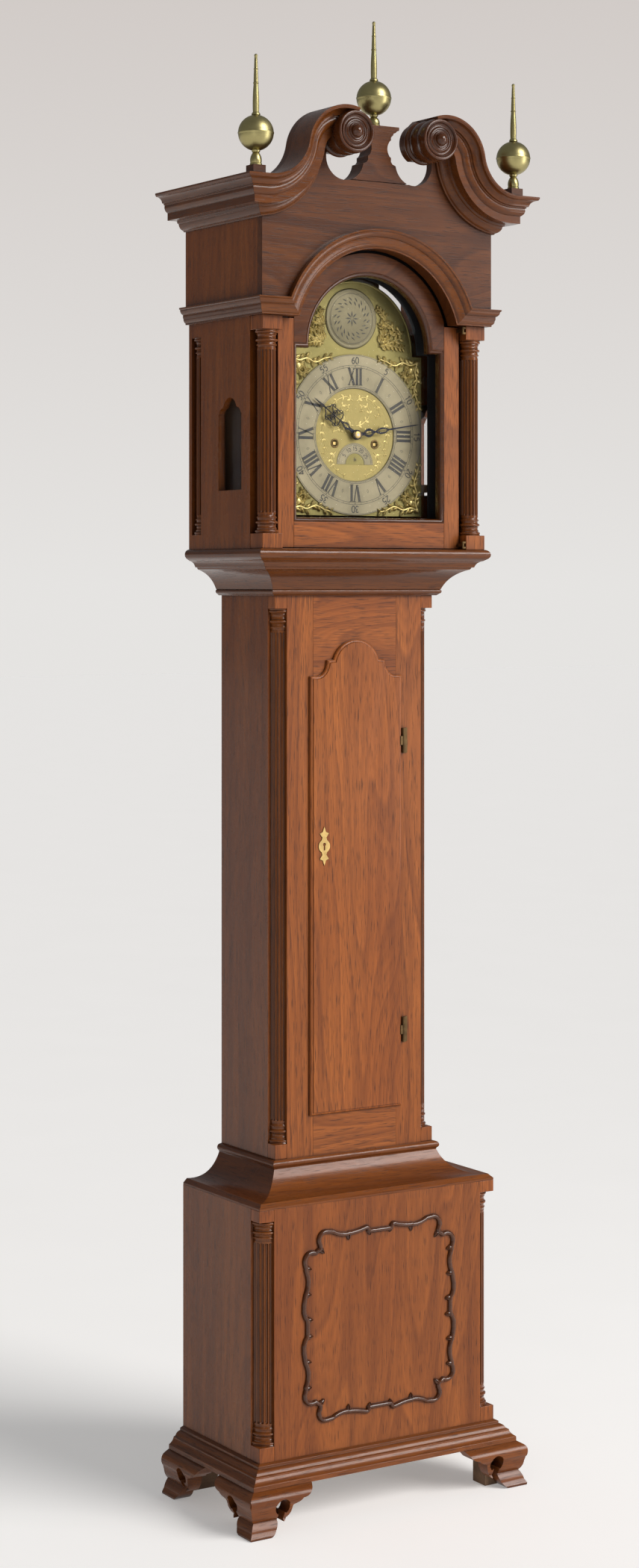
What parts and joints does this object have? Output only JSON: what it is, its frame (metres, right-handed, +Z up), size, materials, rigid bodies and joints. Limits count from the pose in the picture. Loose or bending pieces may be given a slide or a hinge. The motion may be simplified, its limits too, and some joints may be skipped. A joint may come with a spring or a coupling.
{
  "type": "tall-case clock",
  "caption": "Tall-case walnut clock with scrolled pediment, arched brass dial, glazed hood door, arched trunk door and a weight-driven movement.",
  "frame": {"origin": "centre of the bounding box's footprint, on the floor", "axes": "+Z up, the dial faces -Y, +X to the right as seen from the front; the flat back is at the greatest Y"},
  "size_m": [0.5958, 0.331, 2.5591],
  "materials": {
    "walnut": "gloss",
    "dark_bead": "gloss",
    "secondary_wood": "matte",
    "brass": "satin",
    "silvered": "satin",
    "steel": "satin",
    "blued_steel": "gloss",
    "lead": "matte",
    "gut": "matte",
    "glass": "gloss",
    "black_paint": "matte"
  },
  "bodies": {
    "case": {"feet": "walnut", "base_floor": "secondary_wood", "base_front": "walnut", "base_sides": "walnut", "base_columns": "walnut", "base_bead": "dark_bead", "base_moulding": "walnut", "flare_moulding": "walnut", "backboard": "secondary_wood", "trunk_sides": "walnut", "trunk_front": "walnut", "trunk_columns": "walnut", "support_moulding": "walnut", "waist_hinge_pins": "brass", "seatboard": "secondary_wood", "movement_plates": "brass", "dial_plate": "brass", "chapter_ring": "silvered", "spandrels": "brass", "name_disc": "silvered", "bell": "brass", "going_line": "gut", "strike_line": "gut"},
    "waist_door": {"waist_door": "walnut", "waist_hinge_leaves": "brass", "escutcheon": "brass"},
    "minute": {"centre_arbor": "steel", "minute_hand": "blued_steel"},
    "hour": {"hour_hand": "blued_steel"},
    "great_wheel": {"great_wheel": "brass"},
    "third_wheel": {"third_wheel": "brass"},
    "escape_wheel": {"escape_wheel": "brass"},
    "anchor": {"anchor": "steel"},
    "pendulum": {"pendulum": "brass"},
    "going_barrel": {"going_barrel": "brass"},
    "strike_barrel": {"strike_barrel": "brass"},
    "going_weight": {"going_weight": "lead"},
    "strike_weight": {"strike_weight": "lead"},
    "bell_hammer": {"bell_hammer": "steel"},
    "hood": {"hood_side_left": "walnut", "hood_side_right": "walnut", "side_glass": "glass", "hood_base_frame": "walnut", "hood_columns": "walnut", "hood_mask": "black_paint", "arch_moulding": "walnut", "tympanum": "walnut", "cornice_returns": "walnut", "scroll_left": "walnut", "scroll_right": "walnut", "rosettes": "dark_bead", "plinth": "walnut", "hood_top": "secondary_wood", "centre_finial": "brass", "side_finials": "brass", "hood_hinge_pins": "brass"},
    "hood_door": {"hood_door": "walnut", "hood_door_glass": "glass", "hood_hinge_straps": "brass"}
  },
  "joints": [
    {"name": "hood_slide", "type": "slide", "parent": "case", "child": "hood", "axis": [0, -1, 0], "range_m": [0, 0.3]},
    {"name": "hood_door_swing", "type": "hinge", "parent": "hood", "child": "hood_door", "pos_m": [0.1846, -0.08055, 1.845], "axis": [0, 0, 1], "range_deg": [0, 110]},
    {"name": "waist_door_swing", "type": "hinge", "parent": "case", "child": "waist_door", "pos_m": [0.0986, -0.02155, 1.08], "axis": [0, 0, 1], "range_deg": [0, 150]},
    {"name": "minute_spin", "type": "hinge", "parent": "case", "child": "minute", "pos_m": [0, 0.01545, 1.8475], "axis": [0, 1, 0], "continuous": true},
    {"name": "hour_spin", "type": "hinge", "parent": "case", "child": "hour", "pos_m": [0, -0.00455, 1.8475], "axis": [0, 1, 0], "continuous": true},
    {"name": "great_wheel_spin", "type": "hinge", "parent": "case", "child": "great_wheel", "pos_m": [-0.0415, 0.02545, 1.832], "axis": [0, 1, 0], "continuous": true},
    {"name": "third_wheel_spin", "type": "hinge", "parent": "case", "child": "third_wheel", "pos_m": [0.016, 0.07045, 1.87567], "axis": [0, 1, 0], "continuous": true},
    {"name": "escape_wheel_spin", "type": "hinge", "parent": "case", "child": "escape_wheel", "pos_m": [0, 0.05345, 1.90176], "axis": [0, 1, 0], "continuous": true},
    {"name": "pendulum_swing", "type": "hinge", "parent": "case", "child": "pendulum", "pos_m": [0, 0.09945, 1.93006], "axis": [0, 1, 0], "range_deg": [-2.5, 2.5]},
    {"name": "anchor_rock", "type": "hinge", "parent": "case", "child": "anchor", "pos_m": [0, 0.05345, 1.93006], "axis": [0, 1, 0], "range_deg": [-2.5, 2.5]},
    {"name": "going_barrel_turn", "type": "hinge", "parent": "case", "child": "going_barrel", "pos_m": [-0.0415, 0.04745, 1.832], "axis": [0, 1, 0], "range_deg": [0, 3438]},
    {"name": "strike_barrel_turn", "type": "hinge", "parent": "case", "child": "strike_barrel", "pos_m": [0.0415, 0.04745, 1.832], "axis": [0, 1, 0], "range_deg": [-3438, 0]},
    {"name": "going_weight_rise", "type": "slide", "parent": "case", "child": "going_weight", "axis": [0, 0, 1], "range_m": [0, 0.72], "deforming": ["going_line"]},
    {"name": "strike_weight_rise", "type": "slide", "parent": "case", "child": "strike_weight", "axis": [0, 0, 1], "range_m": [0, 0.72], "deforming": ["strike_line"]},
    {"name": "hammer_strike", "type": "hinge", "parent": "case", "child": "bell_hammer", "pos_m": [0.054, 0.04745, 1.90206], "axis": [0, 1, 0], "range_deg": [-7, 6], "stiffness_Nm_per_rad": 0.2}
  ],
  "couplings": [
    {"joint": "hour_spin", "follows": "minute_spin", "ratio": 0.083333},
    {"joint": "great_wheel_spin", "follows": "minute_spin", "ratio": -0.125},
    {"joint": "third_wheel_spin", "follows": "minute_spin", "ratio": -8},
    {"joint": "escape_wheel_spin", "follows": "minute_spin", "ratio": 60},
    {"joint": "anchor_rock", "follows": "pendulum_swing", "ratio": 1},
    {"joint": "going_barrel_turn", "follows": "going_weight_rise", "rad_per_m": 83.333},
    {"joint": "strike_barrel_turn", "follows": "strike_weight_rise", "rad_per_m": -83.333}
  ]
}
